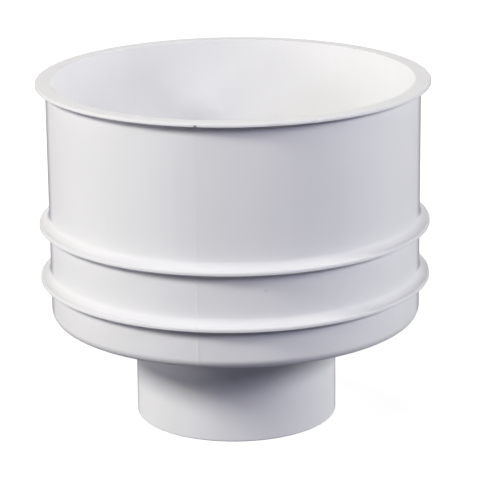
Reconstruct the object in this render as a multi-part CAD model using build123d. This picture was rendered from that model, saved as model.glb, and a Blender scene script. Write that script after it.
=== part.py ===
from build123d import *

import os

# Flat roof drain body: one plastic moulding. A round sump with a flat rim flange at its mouth, two plate
# rings round its wall and a plain spigot under its floor, which pushes into the socket of a rainwater pipe.
# Frame: millimetres, +Z up along the drain's axis, origin at the centre of the spigot's foot.

# Outlet spigot
outlet_diameter = 110.0
outlet_wall = 3.2
outlet_length = 57.0
foot_edge_radius = 0.9

# Sump: its wall, and its floor with the fall towards the outlet
body_diameter = 201.5
body_wall = 3.2
body_height = 131.0
floor_thickness = 3.2
floor_fall = 1.5
inner_corner_radius = 2.1
throat_radius = 2.6

# Rim flange at the mouth: its outer edge is well rounded on top and nearly sharp below
rim_overhang = 5.4
rim_thickness = 1.9
rim_edge_flat = 0.4
rim_edge_radius = 0.4
rim_root_radius = 1.0

# Plate rings round the wall, counted from the lower one up: a cove leads from the wall out over each ring
ring_count = 2
ring_overhang = 5.4
ring_thickness = 2.1
lower_ring_height = 21.9
ring_pitch = 30.0
ring_top_flat = 0.3
ring_crown_radius = 1.0
ring_edge_radius = 0.3
ring_root_radius = 0.8

# Radii and heights that follow from those sizes
outlet_radius = outlet_diameter / 2
bore_radius = outlet_radius - outlet_wall
body_radius = body_diameter / 2
sump_radius = body_radius - body_wall
rim_radius = body_radius + rim_overhang
rim_crown_radius = rim_thickness - rim_edge_radius - rim_edge_flat
ring_radius = body_radius + ring_overhang
ring_cove_radius = ring_overhang - ring_crown_radius - ring_top_flat
body_bottom = outlet_length
throat_bottom = body_bottom - floor_fall
rim_top = body_bottom + body_height
rim_bottom = rim_top - rim_thickness


def underside_corners():
    """Corners from the foot of the bore out to the sump's lower edge: radius, height, rounding."""
    return [
        (bore_radius, 0, foot_edge_radius),
        (outlet_radius, 0, foot_edge_radius),
        (outlet_radius, throat_bottom, throat_radius),
        (body_radius, body_bottom, inner_corner_radius + body_wall),
    ]


def ring_corners(number):
    """Corners of one plate ring, going up the outside of the wall."""
    under = body_bottom + lower_ring_height + number * ring_pitch
    top = under + ring_thickness
    return [
        (body_radius, under, ring_root_radius),
        (ring_radius, under, ring_edge_radius),
        (ring_radius, top, ring_crown_radius),
        (body_radius, top, ring_cove_radius),
    ]


def rim_corners():
    """Corners of the rim flange, from its root under the overhang to the mouth of the sump."""
    return [
        (body_radius, rim_bottom, rim_root_radius),
        (rim_radius, rim_bottom, rim_edge_radius),
        (rim_radius, rim_top, rim_crown_radius),
        (sump_radius, rim_top, rim_edge_radius),
    ]


def floor_corners():
    """Corners of the sump's floor, from the wall down into the throat of the outlet."""
    return [
        (sump_radius, body_bottom + floor_thickness, inner_corner_radius),
        (bore_radius, throat_bottom + floor_thickness, throat_radius + outlet_wall),
    ]


def half_section():
    """The moulding's section on one side of the axis, as a face in the XZ plane."""
    corners = underside_corners()
    for number in range(ring_count):
        corners += ring_corners(number)
    corners += rim_corners()
    corners += floor_corners()
    places = [(radius, 0, height) for radius, height, rounding in corners]
    roundings = [rounding for radius, height, rounding in corners]
    return make_face(FilletPolyline(*places, radius=roundings, close=True))


drain_body = revolve(half_section(), axis=Axis.Z)

os.makedirs("parts", exist_ok=True)
export_step(drain_body, "parts/drain_body.step")
print("drain body, cubic centimetres:", round(drain_body.volume / 1000, 1))
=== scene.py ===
# %% [markdown]
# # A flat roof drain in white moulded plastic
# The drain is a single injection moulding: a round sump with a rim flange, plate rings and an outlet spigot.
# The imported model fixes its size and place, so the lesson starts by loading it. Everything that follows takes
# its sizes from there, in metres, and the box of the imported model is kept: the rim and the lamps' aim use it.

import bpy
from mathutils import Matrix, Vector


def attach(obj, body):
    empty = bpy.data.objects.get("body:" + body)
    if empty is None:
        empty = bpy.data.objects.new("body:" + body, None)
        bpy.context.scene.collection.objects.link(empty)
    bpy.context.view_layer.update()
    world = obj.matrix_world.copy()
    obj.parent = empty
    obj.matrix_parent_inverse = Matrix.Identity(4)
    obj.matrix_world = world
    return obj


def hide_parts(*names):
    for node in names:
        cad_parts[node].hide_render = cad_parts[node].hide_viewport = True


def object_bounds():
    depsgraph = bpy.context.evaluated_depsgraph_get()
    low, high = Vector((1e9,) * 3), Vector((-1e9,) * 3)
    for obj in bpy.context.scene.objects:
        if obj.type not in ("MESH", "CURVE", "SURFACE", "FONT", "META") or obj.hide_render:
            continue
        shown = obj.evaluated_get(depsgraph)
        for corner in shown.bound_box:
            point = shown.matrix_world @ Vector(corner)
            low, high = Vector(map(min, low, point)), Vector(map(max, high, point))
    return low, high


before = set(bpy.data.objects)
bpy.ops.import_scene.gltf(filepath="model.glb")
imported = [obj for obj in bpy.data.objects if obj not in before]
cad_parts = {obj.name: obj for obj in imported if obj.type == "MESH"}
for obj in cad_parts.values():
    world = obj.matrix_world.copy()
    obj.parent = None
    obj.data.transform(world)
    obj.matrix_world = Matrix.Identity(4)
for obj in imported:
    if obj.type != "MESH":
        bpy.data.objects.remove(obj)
cad_low, cad_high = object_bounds()
print("packed box, metres:", tuple(cad_low), tuple(cad_high))

# %% [markdown]
# ## The camera
# A product like this is photographed from well away with a long lens, so that its sides stay upright. The
# place of the camera could be found by eye, but edges of known circles pin it down better: the lens, the
# height and the downward pitch below make the rim, rings and spigot fall where they do in the photograph.
# The picture is also rolled a little, with the right side of the drain higher, and turned a little aside.

# %% Camera
import math

import bpy
from mathutils import Matrix, Vector

image_width_pixels = 480
focal_length_pixels = 2449.8
camera_back = 1.2854
camera_height = 0.4773
camera_pitch = 0.2878
camera_turn = -0.0022
camera_roll = -0.0110

camera_data = bpy.data.cameras.new("camera")
camera_data.lens = camera_data.sensor_width * focal_length_pixels / image_width_pixels
camera = bpy.data.objects.new("camera", camera_data)
bpy.context.scene.collection.objects.link(camera)
aim = (
    Matrix.Rotation(camera_turn, 4, "Z")
    @ Matrix.Rotation(math.pi / 2 - camera_pitch, 4, "X")
    @ Matrix.Rotation(camera_roll, 4, "Z")
)
camera.matrix_world = Matrix.Translation((0, -camera_back, camera_height)) @ aim
bpy.context.scene.camera = camera
print("lens, millimetres:", round(camera_data.lens, 1))

# %% [markdown]
# ## The section of the moulding
# A round moulding is fully told by its section on one side of the axis. The section could be drawn again
# point by point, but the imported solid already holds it. A copy of the solid is merged and cut by an upright
# plane through the axis, and all but the cut is cleared away. What is left on one side is the outline of
# the wall, with every rounding in its place.

# %% Cut the section out of the solid
import bmesh

merge_distance = 1e-6
moulding = bmesh.new()
moulding.from_mesh(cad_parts["drain_body"].data)
bmesh.ops.remove_doubles(moulding, verts=moulding.verts, dist=merge_distance)
whole = moulding.verts[:] + moulding.edges[:] + moulding.faces[:]
bmesh.ops.bisect_plane(
    moulding, geom=whole, dist=merge_distance, plane_co=(0, 0, 0), plane_no=(0, 1, 0),
    clear_inner=True, clear_outer=True,
)
other_half = [vert for vert in moulding.verts if vert.co.x < 0]
bmesh.ops.delete(moulding, geom=other_half, context="VERTS")
print("section points:", len(moulding.verts), "edges:", len(moulding.edges))

# %% [markdown]
# The cut has points enough on its roundings and none along its straight walls. The long runs are divided, so
# that the faces made from them come out of about equal size.

# %% Even out the section's points
longest_run = 0.006
for edge in moulding.edges[:]:
    cuts = math.ceil(edge.calc_length() / longest_run) - 1
    if cuts > 0:
        bmesh.ops.subdivide_edges(moulding, edges=[edge], cuts=cuts)
print("section points after evening out:", len(moulding.verts))

# %% [markdown]
# ## The round body
# The outside of such a drain is moulded between two halves of a split mould, which part in an upright plane
# through the axis. The section is first turned into that plane and then spun once round the axis. Starting
# the spin there leaves a column of points in the plane itself, ready for the parting line.

# %% Spin the section
parting_azimuth = math.radians(-11.1)
spin_steps = 256
section_turn = Matrix.Rotation(parting_azimuth - math.pi / 2, 3, "Z")
bmesh.ops.rotate(moulding, cent=(0, 0, 0), matrix=section_turn, verts=moulding.verts)
bmesh.ops.spin(
    moulding, geom=moulding.verts[:] + moulding.edges[:], cent=(0, 0, 0), axis=(0, 0, 1), dvec=(0, 0, 0),
    angle=2 * math.pi, steps=spin_steps, use_merge=True, use_duplicate=False,
)
bmesh.ops.remove_doubles(moulding, verts=moulding.verts, dist=merge_distance)
bmesh.ops.recalc_face_normals(moulding, faces=moulding.faces)
print("body faces:", len(moulding.faces))

# %% [markdown]
# ## The parting line
# Where the mould's halves meet, the plastic keeps a fine raised line. It runs up the sump's wall, over both
# rings and to the rim, in front and behind. It could be a painted line, but it catches the light from one
# side, so it is made as a ridge. Two cuts beside the parting plane bound it first. The inside was moulded on
# a core and has no such line: its faces lean towards the axis, which tells them from the skin outside.

# %% Cut the skin beside the parting line
rim_top = cad_high.z
seam_half_width = 0.0005
seam_foot = 0.0565
seam_end = rim_top - 0.0012
least_lean = 0.01


def around_axis(azimuth):
    """Level directions at an angle from the front: outwards from the axis, and along the wall."""
    outwards = Vector((math.sin(azimuth), -math.cos(azimuth), 0))
    along = Vector((math.cos(azimuth), math.sin(azimuth), 0))
    return outwards, along


def is_outside(place, normal):
    """True on the skin that the split mould forms, between the sump's lower edge and the rim's rounding."""
    leans_in = normal.xy.dot(place.xy) < -least_lean * place.xy.length
    return not leans_in and seam_foot < place.z < seam_end


def cut_faces(faces, place, direction):
    """Cuts the given faces of the moulding by a plane."""
    parts = {part for face in faces for part in (*face.verts, *face.edges)}
    bmesh.ops.bisect_plane(
        moulding, geom=list(parts) + faces, dist=merge_distance, plane_co=place, plane_no=direction,
    )


parting_normal = around_axis(parting_azimuth)[1]
for side in (-1, 1):
    skin = [face for face in moulding.faces if is_outside(face.calc_center_median(), face.normal)]
    cut_faces(skin, parting_normal * side * seam_half_width, parting_normal)
print("body faces with the seam's edges:", len(moulding.faces))

# %% [markdown]
# Now the points in the parting plane itself are lifted, by a sixth of a millimetre at the sump's lower edge
# and less and less towards the rim, where the mould closes tightest. The crest's edges are marked sharp, so
# that the shading breaks there as on the real ridge.

# %% Raise the parting line
seam_height_low = 0.00016
seam_height_high = 0.00004
moulding.normal_update()
crest = {
    vert for vert in moulding.verts
    if abs(vert.co.dot(parting_normal)) < merge_distance and is_outside(vert.co, vert.normal)
}
for vert in crest:
    climb = (vert.co.z - seam_foot) / (seam_end - seam_foot)
    vert.co += vert.normal * (seam_height_low + (seam_height_high - seam_height_low) * climb)
for edge in moulding.edges:
    if crest.issuperset(edge.verts):
        edge.smooth = False
print("parting line points:", len(crest))

# %% [markdown]
# ## Nicks in the rim
# The rim's edge has been knocked twice in handling: a deeper notch near the parting line and a shallower one
# to the right of the front. Each is cut where it lies. Three upright cuts through the edge give it a middle
# and two sides, and the points of the middle cut are pressed inwards, most at the notch's own height.

# %% Press the nicks into the rim
rim_radius = cad_high.x
rim_zone = 0.004


def rim_nick(azimuth_degrees, height, width, tall, depth):
    """Presses one notch into the rim's outer edge."""
    outwards, along = around_axis(math.radians(azimuth_degrees))

    def is_near(place):
        in_reach = place.dot(outwards) > rim_radius - rim_zone and place.z > rim_top - rim_zone
        return in_reach and abs(place.dot(along)) < 2 * width

    for share in (-0.5, 0, 0.5):
        near = [face for face in moulding.faces if is_near(face.calc_center_median())]
        cut_faces(near, along * share * width, along)
    pressed = 0
    for vert in moulding.verts:
        off_height = 2 * (vert.co.z - height) / tall
        if is_near(vert.co) and abs(vert.co.dot(along)) < merge_distance and abs(off_height) < 1:
            vert.co -= outwards * depth * (1 - off_height ** 2)
            pressed += 1
    print("nick at", azimuth_degrees, "degrees, points pressed in:", pressed)


notch_azimuth = -10.4
shallow_nick_azimuth = 22.8
rim_nick(notch_azimuth, height=rim_top - 0.0017, width=0.0018, tall=0.0018, depth=0.0014)
rim_nick(shallow_nick_azimuth, height=rim_top - 0.0008, width=0.0018, tall=0.0018, depth=0.0009)

# %% [markdown]
# ## The finished body
# The moulding becomes one object with smooth shading. Its faces differ a lot in size, from the long wall to
# the small roundings, so the shading leans on the larger ones. The object then takes the place of the packed
# solid and rides on the drain's only body.

# %% Finish the body
for face in moulding.faces:
    face.smooth = True
body_mesh = bpy.data.meshes.new("moulded_body")
moulding.to_mesh(body_mesh)
moulding.free()
body = bpy.data.objects.new("moulded_body", body_mesh)
bpy.context.scene.collection.objects.link(body)
weighted = body.modifiers.new("even shading", "WEIGHTED_NORMAL")
weighted.keep_sharp = True
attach(body, "root")
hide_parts("drain_body")
print("body triangles:", sum(len(polygon.vertices) - 2 for polygon in body_mesh.polygons))

# %% [markdown]
# ## The white plastic
# Polypropylene for drains is white through and through, with a satin skin from the mould. One flat colour
# would look like paint, so the skin gets what flow and handling leave on it: a faint cloudiness, fainter
# streaks that run the way the melt rose, a gloss that varies with the cloudiness, and a fine grain. All of it
# is worked out from object coordinates, so it stays on the drain however that is turned. First come the few
# steps that every finish below is put together from.

# %% Nodes for the skin
plastic = bpy.data.materials.new("white_moulded_plastic")
plastic.use_nodes = True
skin_tree = plastic.node_tree
shader = skin_tree.nodes["Principled BSDF"]


def placed(centre=(0, 0, 0), turn=0, size=(1, 1, 1)):
    """Object coordinates measured from a centre, turned about the axis and counted in sizes."""
    coordinates = skin_tree.nodes.new("ShaderNodeTexCoord")
    mapping = skin_tree.nodes.new("ShaderNodeMapping")
    mapping.vector_type = "TEXTURE"
    mapping.inputs["Location"].default_value = centre
    mapping.inputs["Rotation"].default_value = (0, 0, turn)
    mapping.inputs["Scale"].default_value = size
    skin_tree.links.new(coordinates.outputs["Object"], mapping.inputs["Vector"])
    return mapping.outputs["Vector"]


def noise(size, detail):
    """A noise whose lumps have about the given size in metres."""
    texture = skin_tree.nodes.new("ShaderNodeTexNoise")
    texture.inputs["Scale"].default_value = 1
    texture.inputs["Detail"].default_value = detail
    skin_tree.links.new(placed(size=size), texture.inputs["Vector"])
    return texture.outputs["Fac"]


def ranged(value, start, end, low, high, smooth=False):
    """The value's range from start to end, brought to a range from low to high."""
    node = skin_tree.nodes.new("ShaderNodeMapRange")
    node.interpolation_type = "SMOOTHSTEP" if smooth else "LINEAR"
    node.inputs["From Min"].default_value = start
    node.inputs["From Max"].default_value = end
    node.inputs["To Min"].default_value = low
    node.inputs["To Max"].default_value = high
    skin_tree.links.new(value, node.inputs["Value"])
    return node.outputs["Result"]


def times(first, second):
    """The product of two values."""
    node = skin_tree.nodes.new("ShaderNodeMath")
    node.operation = "MULTIPLY"
    skin_tree.links.new(first, node.inputs[0])
    skin_tree.links.new(second, node.inputs[1])
    return node.outputs[0]


def tinted(factor, under, over):
    """A colour or colour socket with another colour laid over it by a factor."""
    node = skin_tree.nodes.new("ShaderNodeMix")
    node.data_type = "RGBA"
    factor_in, under_in, over_in = node.inputs[0], node.inputs[6], node.inputs[7]
    skin_tree.links.new(factor, factor_in)
    over_in.default_value = (*over, 1)
    if isinstance(under, tuple):
        under_in.default_value = (*under, 1)
    else:
        skin_tree.links.new(under, under_in)
    return node.outputs[2]


print("material:", plastic.name)

# %% [markdown]
# The melt cools unevenly, which leaves broad clouds a shade darker than the rest, and it flows upwards in the
# mould, which leaves narrow upright streaks. Both could be painted by hand, but noise of the right size and
# stretch gives the same irregular look all round. Both stay so faint that they only keep the white from
# looking flat.

# %% Cloudiness and streaks
clean_white = (0.915, 0.915, 0.922)
cloudy_white = (0.885, 0.885, 0.897)
streaked_white = (0.900, 0.897, 0.902)
cloud = noise(size=(0.06, 0.06, 0.06), detail=3)
streaks = noise(size=(0.005, 0.005, 0.10), detail=2)
color = tinted(ranged(cloud, 0.35, 0.75, 0, 1), clean_white, cloudy_white)
color = tinted(ranged(streaks, 0.45, 0.75, 0, 0.5), color, streaked_white)
print("nodes in the plastic so far:", len(skin_tree.nodes))

# %% [markdown]
# Faces that look up are painted a shade greyer. In this light the flange and the tops of the rings come out too
# bright against the walls, so a thin grey film of painted shade is laid there. The upward part of the face's
# own normal says how far it looks up, and the cloudiness keeps the film uneven.

# %% Painted shade on faces that look up
top_shade_grey = (0.82, 0.82, 0.83)
skin_place = skin_tree.nodes.new("ShaderNodeTexCoord")
facing = skin_tree.nodes.new("ShaderNodeSeparateXYZ")
skin_tree.links.new(skin_place.outputs["Normal"], facing.inputs["Vector"])
# A grey film of painted shade on the faces that look up.
painted_top_shade = times(ranged(facing.outputs["Z"], 0.15, 0.65, 0, 1), ranged(cloud, 0.3, 0.7, 0.8, 1))
color = tinted(painted_top_shade, color, top_shade_grey)
print("nodes in the plastic with its dust:", len(skin_tree.nodes))

# %% [markdown]
# Three marks are there besides: a dark speck in the wall, a darker spot painted into the notch of the rim's
# edge and a grey rub along that edge. Each is a soft spot round a place on the drain: the distance from it,
# counted in the mark's own sizes, says how much of the mark's colour shows.

# %% Speck, darkened notch and rub
wall_radius = 0.10075
mark_depth = 0.003
mark_core = 0.3


def mark(azimuth_degrees, radius, height, wide, tall, strength):
    """A soft oval spot on an upright face of the drain, as a factor."""
    azimuth = math.radians(azimuth_degrees)
    centre = around_axis(azimuth)[0] * radius + Vector((0, 0, height))
    distance = skin_tree.nodes.new("ShaderNodeVectorMath")
    distance.operation = "LENGTH"
    skin_tree.links.new(placed(centre, azimuth, (wide / 2, mark_depth, tall / 2)), distance.inputs[0])
    return ranged(distance.outputs["Value"], mark_core, 1, strength, 0, smooth=True)


speck_azimuth = 8.86
rub_azimuth = 11
notch_radius = rim_radius - 0.0005
speck_grey = (0.42, 0.41, 0.43)
notch_grey = (0.30, 0.30, 0.32)
rub_grey = (0.55, 0.55, 0.58)
speck = mark(speck_azimuth, wall_radius, height=0.0991, wide=0.0024, tall=0.0024, strength=0.16)
# The notch is painted darker than the plastic round it.
notch_darkening = mark(notch_azimuth, notch_radius, height=rim_top - 0.0016, wide=0.002, tall=0.0018, strength=0.7)
rub = mark(rub_azimuth, rim_radius, height=rim_top - 0.001, wide=0.012, tall=0.0016, strength=0.35)
color = tinted(speck, color, speck_grey)
color = tinted(notch_darkening, color, notch_grey)
color = tinted(rub, color, rub_grey)
print("nodes in the plastic with its marks:", len(skin_tree.nodes))

# %% [markdown]
# The outline is painted darker: where a face turns away from the eye, its colour is laid over with a bluish
# grey, a painted shade that gives the white drain dark edges against the white around it. Layer Weight tells
# how far a face turns away from the eye. Inside the sump the walls light each other, so the painted shade is
# kept to faces
# that look away from the axis: there the level part of the place and the face's normal point the same way.

# %% Painted shade at the outline
painted_edge_shade_grey = (0.36, 0.36, 0.42)
turned_away = skin_tree.nodes.new("ShaderNodeLayerWeight")
turned_away.inputs["Blend"].default_value = 0.5
grazing = ranged(turned_away.outputs["Facing"], 0.80, 0.96, 0, 0.9, smooth=True)
level_place = skin_tree.nodes.new("ShaderNodeVectorMath")
level_place.operation = "MULTIPLY"
level_place.inputs[1].default_value = (1, 1, 0)
skin_tree.links.new(skin_place.outputs["Object"], level_place.inputs[0])
agreement = skin_tree.nodes.new("ShaderNodeVectorMath")
agreement.operation = "DOT_PRODUCT"
skin_tree.links.new(level_place.outputs["Vector"], agreement.inputs[0])
skin_tree.links.new(skin_place.outputs["Normal"], agreement.inputs[1])
# Painted shade: faces that turn away from the eye get a darker colour.
painted_edge_shade = times(grazing, ranged(agreement.outputs["Value"], 0, 0.02, 0, 1))
color = tinted(painted_edge_shade, color, painted_edge_shade_grey)
skin_tree.links.new(color, shader.inputs["Base Color"])
print("nodes in the plastic with its outline:", len(skin_tree.nodes))

# %% [markdown]
# The mould was blasted to a fine satin, which the plastic copies. So the gloss is broad, a little keener
# where the skin is cloudy, and a grain too fine to see by itself takes the hard edge off what it reflects.

# %% Gloss and grain
dull_roughness = 0.64
keen_roughness = 0.54
grain_size = 0.0009
shader.inputs["IOR"].default_value = 1.49
shader.inputs["Specular IOR Level"].default_value = 0.25
skin_tree.links.new(ranged(cloud, 0.3, 0.7, dull_roughness, keen_roughness), shader.inputs["Roughness"])
grain = skin_tree.nodes.new("ShaderNodeBump")
grain.inputs["Strength"].default_value = 0.06
grain.inputs["Distance"].default_value = 0.0002
skin_tree.links.new(noise(size=(grain_size, grain_size, grain_size), detail=2), grain.inputs["Height"])
skin_tree.links.new(grain.outputs["Normal"], shader.inputs["Normal"])
body_mesh.materials.append(plastic)
print("plastic on:", body.name)

# %% [markdown]
# ## The floor
# The drain stands on a white studio floor that runs out of the picture without an edge. A curved backdrop
# would do as well, but from this height a flat sheet that is wide enough looks the same. It is staging and no
# part of the drain.

# %% Floor
floor_half = 6.0
floor_mesh = bpy.data.meshes.new("floor")
plate = bmesh.new()
bmesh.ops.create_grid(plate, x_segments=1, y_segments=1, size=floor_half)
plate.to_mesh(floor_mesh)
plate.free()
floor = bpy.data.objects.new("floor", floor_mesh)
bpy.context.scene.collection.objects.link(floor)
print("floor, metres across:", 2 * floor_half)

# %% [markdown]
# A floor that is white all round would throw a lot of light up under the rings, and the photograph has none
# there. So the floor asks Light Path what kind of ray meets it. To the camera, to gloss and to clear things
# it is white paper with a glow of its own, which grows to full white away from the drain, and the drain's
# shadow still falls on it. Inside the foot, where the outlet opens on it, it doesn't glow. To the light that
# bounces between surfaces it is a dark blue-grey, which adds to the cool cast that the shaded sides have in
# the photograph. Seen from below it is clear, so that the underside of the drain can be looked at as well.

# %% Paper on the floor
def seen_directly(tree):
    """A value of 1 for rays that come from the camera, off gloss or through clear stuff, else 0."""
    path = tree.nodes.new("ShaderNodeLightPath")
    total = path.outputs["Is Camera Ray"]
    for ray in ("Is Glossy Ray", "Is Transmission Ray"):
        either = tree.nodes.new("ShaderNodeMath")
        either.operation = "MAXIMUM"
        tree.links.new(total, either.inputs[0])
        tree.links.new(path.outputs[ray], either.inputs[1])
        total = either.outputs[0]
    return total


def paper_floor(paper, foot_radius, near_glow, near_reach, far_reach, bounce):
    """Paper that glows to the eye outside the drain's foot, and has another colour for scattered light."""
    material = bpy.data.materials.new("studio_paper")
    material.use_nodes = True
    tree = material.node_tree
    tree.nodes.clear()
    seen_paper = tree.nodes.new("ShaderNodeBsdfDiffuse")
    seen_paper.inputs["Color"].default_value = (paper, paper, paper, 1)
    coordinates = tree.nodes.new("ShaderNodeTexCoord")
    distance = tree.nodes.new("ShaderNodeVectorMath")
    distance.operation = "LENGTH"
    tree.links.new(coordinates.outputs["Object"], distance.inputs[0])
    growth = tree.nodes.new("ShaderNodeMapRange")
    growth.inputs["From Min"].default_value = near_reach
    growth.inputs["From Max"].default_value = far_reach
    growth.inputs["To Min"].default_value = near_glow
    growth.inputs["To Max"].default_value = 1
    tree.links.new(distance.outputs["Value"], growth.inputs["Value"])
    outside_foot = tree.nodes.new("ShaderNodeMath")
    outside_foot.operation = "GREATER_THAN"
    tree.links.new(distance.outputs["Value"], outside_foot.inputs[0])
    outside_foot.inputs[1].default_value = foot_radius
    strength = tree.nodes.new("ShaderNodeMath")
    strength.operation = "MULTIPLY"
    tree.links.new(growth.outputs["Result"], strength.inputs[0])
    tree.links.new(outside_foot.outputs[0], strength.inputs[1])
    paper_glow = tree.nodes.new("ShaderNodeEmission")
    tree.links.new(strength.outputs[0], paper_glow.inputs["Strength"])
    lit_paper = tree.nodes.new("ShaderNodeAddShader")
    tree.links.new(seen_paper.outputs[0], lit_paper.inputs[0])
    tree.links.new(paper_glow.outputs[0], lit_paper.inputs[1])
    grey_paper = tree.nodes.new("ShaderNodeBsdfDiffuse")
    grey_paper.inputs["Color"].default_value = (*bounce, 1)
    by_ray = tree.nodes.new("ShaderNodeMixShader")
    tree.links.new(seen_directly(tree), by_ray.inputs[0])
    tree.links.new(grey_paper.outputs[0], by_ray.inputs[1])
    tree.links.new(lit_paper.outputs[0], by_ray.inputs[2])
    clear = tree.nodes.new("ShaderNodeBsdfTransparent")
    side = tree.nodes.new("ShaderNodeNewGeometry")
    by_side = tree.nodes.new("ShaderNodeMixShader")
    tree.links.new(side.outputs["Backfacing"], by_side.inputs[0])
    tree.links.new(by_ray.outputs[0], by_side.inputs[1])
    tree.links.new(clear.outputs[0], by_side.inputs[2])
    output = tree.nodes.new("ShaderNodeOutputMaterial")
    tree.links.new(by_side.outputs[0], output.inputs["Surface"])
    return material


studio_paper = paper_floor(
    paper=0.3, foot_radius=0.054, near_glow=0.86, near_reach=0.12, far_reach=0.5, bounce=(0.11, 0.11, 0.15),
)
floor_mesh.materials.append(studio_paper)
print("paper on:", floor.name)

# %% [markdown]
# ## The world
# Beyond the floor the studio is white as well, and it works in the same way: the camera, gloss and clear
# things see it, and it throws no light of its own on the drain, which would wash out the shadows.

# %% World
world = bpy.data.worlds.new("studio")
bpy.context.scene.world = world
world.use_nodes = True
background = world.node_tree.nodes["Background"]
background.inputs["Color"].default_value = (1, 1, 1, 1)
world.node_tree.links.new(seen_directly(world.node_tree), background.inputs["Strength"])
print("world strength to the eye: 1")

# %% [markdown]
# ## Black cards
# White on white loses its outline, because the edges of a smooth thing mirror what lies behind and beside
# it. Photographers stand black cards just outside the picture on both sides and lay one in front: the edges
# mirror those and turn a little darker. The cards here do that and nothing else, so they neither show nor
# throw a shadow.

# %% Cards
card_black = bpy.data.materials.new("black_card")
card_black.use_nodes = True
card_shader = card_black.node_tree.nodes["Principled BSDF"]
card_shader.inputs["Base Color"].default_value = (0.02, 0.02, 0.02, 1)
card_shader.inputs["Roughness"].default_value = 0.9


def black_card(name, corners):
    """A flat card through four corners that only gloss can see."""
    mesh = bpy.data.meshes.new(name)
    mesh.from_pydata(corners, [], [(0, 1, 2, 3)])
    mesh.materials.append(card_black)
    card = bpy.data.objects.new(name, mesh)
    bpy.context.scene.collection.objects.link(card)
    card.visible_camera = False
    card.visible_diffuse = False
    card.visible_shadow = False


card_height = 0.30
card_lift = 0.001
near_side, near_back = 0.15, -0.05
far_side, far_back = 0.24, 0.80
front_start, front_end, front_half = -0.13, -1.00, 0.60
for name, side in (("left_card", -1), ("right_card", 1)):
    near, far = (side * near_side, near_back), (side * far_side, far_back)
    black_card(name, [(*near, 0), (*far, 0), (*far, card_height), (*near, card_height)])
black_card("front_card", [
    (-front_half, front_start, card_lift), (front_half, front_start, card_lift),
    (front_half, front_end, card_lift), (-front_half, front_end, card_lift),
])
print("cards: left, right and front")

# %% [markdown]
# ## The lamps
# The photograph is lit by soft lamps. A strong one stands high at the left, with a weaker one nearer the
# front and one low at the side. Three at the right fill the shade, of which the one nearest the front is
# bluish and gives the shaded front its cool cast. One above and behind brightens the flange. Each lamp is a
# square of light aimed at the middle of the drain, told by its direction from there: an angle round from the
# front and an angle up from the floor, both in degrees.

# %% Lamps
lamp_distance = 2.4
lamp_size = 0.5


def soft_lamp(name, azimuth, elevation, power, color):
    """A square soft lamp aimed at the middle of the drain."""
    data = bpy.data.lights.new(name, "AREA")
    data.size = lamp_size
    data.energy = power
    data.color = color
    lamp = bpy.data.objects.new(name, data)
    lamp.visible_camera = False
    bpy.context.scene.collection.objects.link(lamp)
    upward = math.radians(elevation)
    level = around_axis(math.radians(azimuth))[0]
    away = level * math.cos(upward) + Vector((0, 0, math.sin(upward)))
    middle = (cad_low + cad_high) / 2
    lamp.location = middle + away * lamp_distance
    lamp.rotation_mode = "QUATERNION"
    lamp.rotation_quaternion = away.to_track_quat("Z", "Y")


soft_lamp("key", 300, 34, 34.6, (1, 0.985, 0.935))
soft_lamp("front", 330, 34, 9.4, (1, 0.99, 0.96))
soft_lamp("left", 270, 10, 12, (0.98, 0.96, 1))
soft_lamp("fill_front", 45, 26, 15.2, (0.785, 0.777, 1))
soft_lamp("fill", 75, 26, 17.9, (1, 1, 0.93))
soft_lamp("right", 105, 10, 12.3, (0.98, 1, 0.955))
soft_lamp("back", 180, 60, 11, (1, 0.95, 0.9))
print("lamps:", len(bpy.data.lights))

# %% [markdown]
# ## The view
# The picture is shown with the plain Standard view, in which a colour comes out about as it was written.

bpy.context.scene.view_settings.view_transform = "Standard"
